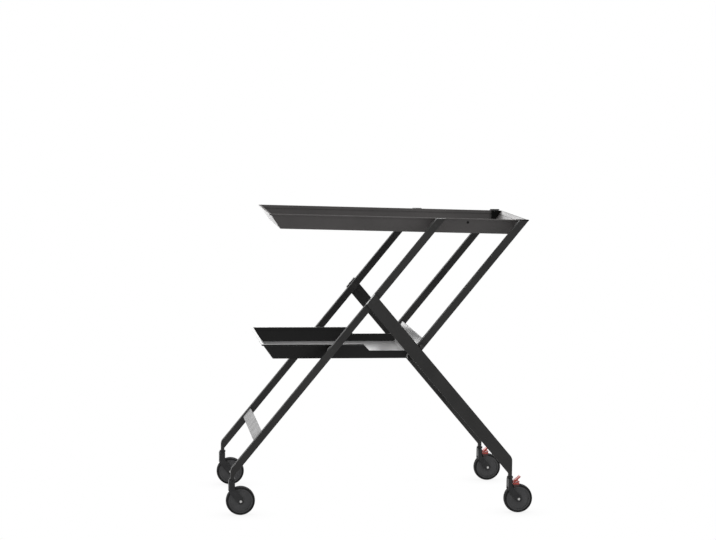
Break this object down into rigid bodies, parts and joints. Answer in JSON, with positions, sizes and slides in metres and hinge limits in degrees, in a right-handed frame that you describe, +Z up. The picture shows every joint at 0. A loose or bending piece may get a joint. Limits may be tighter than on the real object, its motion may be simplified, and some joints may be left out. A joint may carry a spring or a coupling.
{
  "type": "serving cart",
  "caption": "Folding serving cart with a long top tray and a shorter lower tray on a crossed-leg tube frame, rolling on swivel casters with foot brakes at one end.",
  "frame": {"origin": "on the floor, under the middle of the cart's outer box", "axes": "+X to the end with the braked casters and the lower tray's handle, +Y to the left-hand side when facing +X, +Z up"},
  "size_m": [0.795, 0.4584, 0.7719],
  "materials": {
    "black_paint": "semi-gloss black powder coat",
    "cap_plastic": "black moulded plastic",
    "caster_plastic": "black moulded nylon",
    "tyre": "dark grey rubber",
    "steel": "zinc-plated steel",
    "pivot_steel": "black-coated steel",
    "pedal": "red moulded plastic"
  },
  "bodies": {
    "long_leg_frame": {"long_leg_right": "black_paint", "long_leg_left": "black_paint", "long_leg_caps": "cap_plastic", "long_leg_cross_plate": "black_paint", "long_leg_sleeves": "black_paint", "top_tray_leg_pins": "pivot_steel", "lower_tray_leg_pins": "pivot_steel", "crossing_pins": "pivot_steel", "crossing_washers": "pivot_steel", "caster_stem_rear_right": "steel", "caster_stem_rear_left": "steel"},
    "wide_leg_frame": {"wide_leg_right": "black_paint", "wide_leg_left": "black_paint", "wide_leg_caps": "cap_plastic", "wide_leg_cross_plate": "black_paint", "wide_leg_sleeves": "black_paint", "caster_stem_front_right": "steel", "caster_stem_front_left": "steel"},
    "top_tray": {"top_tray": "black_paint", "top_tray_corner_blocks": "black_paint", "top_tray_brackets": "black_paint", "top_tray_link_pins": "pivot_steel", "top_tray_rivets": "pivot_steel"},
    "lower_tray": {"lower_tray": "black_paint", "lower_tray_brackets": "black_paint", "lower_tray_link_pins": "pivot_steel"},
    "link_right": {"link_right": "black_paint", "link_caps_right": "cap_plastic", "link_stop_right": "pivot_steel"},
    "link_left": {"link_left": "black_paint", "link_caps_left": "cap_plastic", "link_stop_left": "pivot_steel"},
    "caster_rear_right": {"caster_fork_rear_right": "caster_plastic", "axle_rear_right": "steel"},
    "wheel_rear_right": {"wheel_core_rear_right": "caster_plastic", "tyre_rear_right": "tyre"},
    "caster_rear_left": {"caster_fork_rear_left": "caster_plastic", "axle_rear_left": "steel"},
    "wheel_rear_left": {"wheel_core_rear_left": "caster_plastic", "tyre_rear_left": "tyre"},
    "caster_front_right": {"caster_fork_front_right": "caster_plastic", "axle_front_right": "steel", "brake_pin_front_right": "steel"},
    "wheel_front_right": {"wheel_core_front_right": "caster_plastic", "tyre_front_right": "tyre"},
    "brake_front_right": {"brake_pedal_front_right": "pedal"},
    "caster_front_left": {"caster_fork_front_left": "caster_plastic", "axle_front_left": "steel", "brake_pin_front_left": "steel"},
    "wheel_front_left": {"wheel_core_front_left": "caster_plastic", "tyre_front_left": "tyre"},
    "brake_front_left": {"brake_pedal_front_left": "pedal"}
  },
  "joints": [
    {"name": "top_tray_fold", "type": "hinge", "parent": "long_leg_frame", "child": "top_tray", "pos_m": [0.13398, 0, 0.745], "axis": [0, -1, 0], "range_deg": [0, 43]},
    {"name": "lower_tray_fold", "type": "hinge", "parent": "long_leg_frame", "child": "lower_tray", "pos_m": [-0.12689, 0, 0.424], "axis": [0, -1, 0], "range_deg": [0, 43]},
    {"name": "link_right_fold", "type": "hinge", "parent": "top_tray", "child": "link_right", "pos_m": [0.35328, -0.197, 0.745], "axis": [0, -1, 0], "range_deg": [-43, 0]},
    {"name": "link_left_fold", "type": "hinge", "parent": "top_tray", "child": "link_left", "pos_m": [0.35328, 0.197, 0.745], "axis": [0, -1, 0], "range_deg": [-43, 0]},
    {"name": "wide_leg_fold", "type": "hinge", "parent": "long_leg_frame", "child": "wide_leg_frame", "pos_m": [-0.02536, 0, 0.54893], "axis": [0, 1, 0], "range_deg": [0, 58]},
    {"name": "swivel_rear_right", "type": "hinge", "parent": "long_leg_frame", "child": "caster_rear_right", "pos_m": [-0.3815, -0.197, 0.095], "axis": [0, 0, 1], "continuous": true},
    {"name": "roll_rear_right", "type": "hinge", "parent": "caster_rear_right", "child": "wheel_rear_right", "pos_m": [-0.36, -0.197, 0.0375], "axis": [0, 1, 0], "continuous": true},
    {"name": "swivel_rear_left", "type": "hinge", "parent": "long_leg_frame", "child": "caster_rear_left", "pos_m": [-0.3815, 0.197, 0.095], "axis": [0, 0, 1], "continuous": true},
    {"name": "roll_rear_left", "type": "hinge", "parent": "caster_rear_left", "child": "wheel_rear_left", "pos_m": [-0.36, 0.197, 0.0375], "axis": [0, 1, 0], "continuous": true},
    {"name": "swivel_front_right", "type": "hinge", "parent": "wide_leg_frame", "child": "caster_front_right", "pos_m": [0.3385, -0.213, 0.095], "axis": [0, 0, 1], "continuous": true},
    {"name": "roll_front_right", "type": "hinge", "parent": "caster_front_right", "child": "wheel_front_right", "pos_m": [0.36, -0.213, 0.0375], "axis": [0, 1, 0], "continuous": true},
    {"name": "brake_press_front_right", "type": "hinge", "parent": "caster_front_right", "child": "brake_front_right", "pos_m": [0.3475, -0.213, 0.0795], "axis": [0, 1, 0], "range_deg": [0, 8]},
    {"name": "swivel_front_left", "type": "hinge", "parent": "wide_leg_frame", "child": "caster_front_left", "pos_m": [0.3385, 0.213, 0.095], "axis": [0, 0, 1], "continuous": true},
    {"name": "roll_front_left", "type": "hinge", "parent": "caster_front_left", "child": "wheel_front_left", "pos_m": [0.36, 0.213, 0.0375], "axis": [0, 1, 0], "continuous": true},
    {"name": "brake_press_front_left", "type": "hinge", "parent": "caster_front_left", "child": "brake_front_left", "pos_m": [0.3475, 0.213, 0.0795], "axis": [0, 1, 0], "range_deg": [0, 8]}
  ],
  "couplings": [
    {"joint": "lower_tray_fold", "follows": "top_tray_fold", "ratio": 1},
    {"joint": "link_right_fold", "follows": "top_tray_fold", "ratio": -1},
    {"joint": "link_left_fold", "follows": "top_tray_fold", "ratio": -1},
    {"joint": "wide_leg_fold", "follows": "top_tray_fold", "ratio": 1.348}
  ]
}
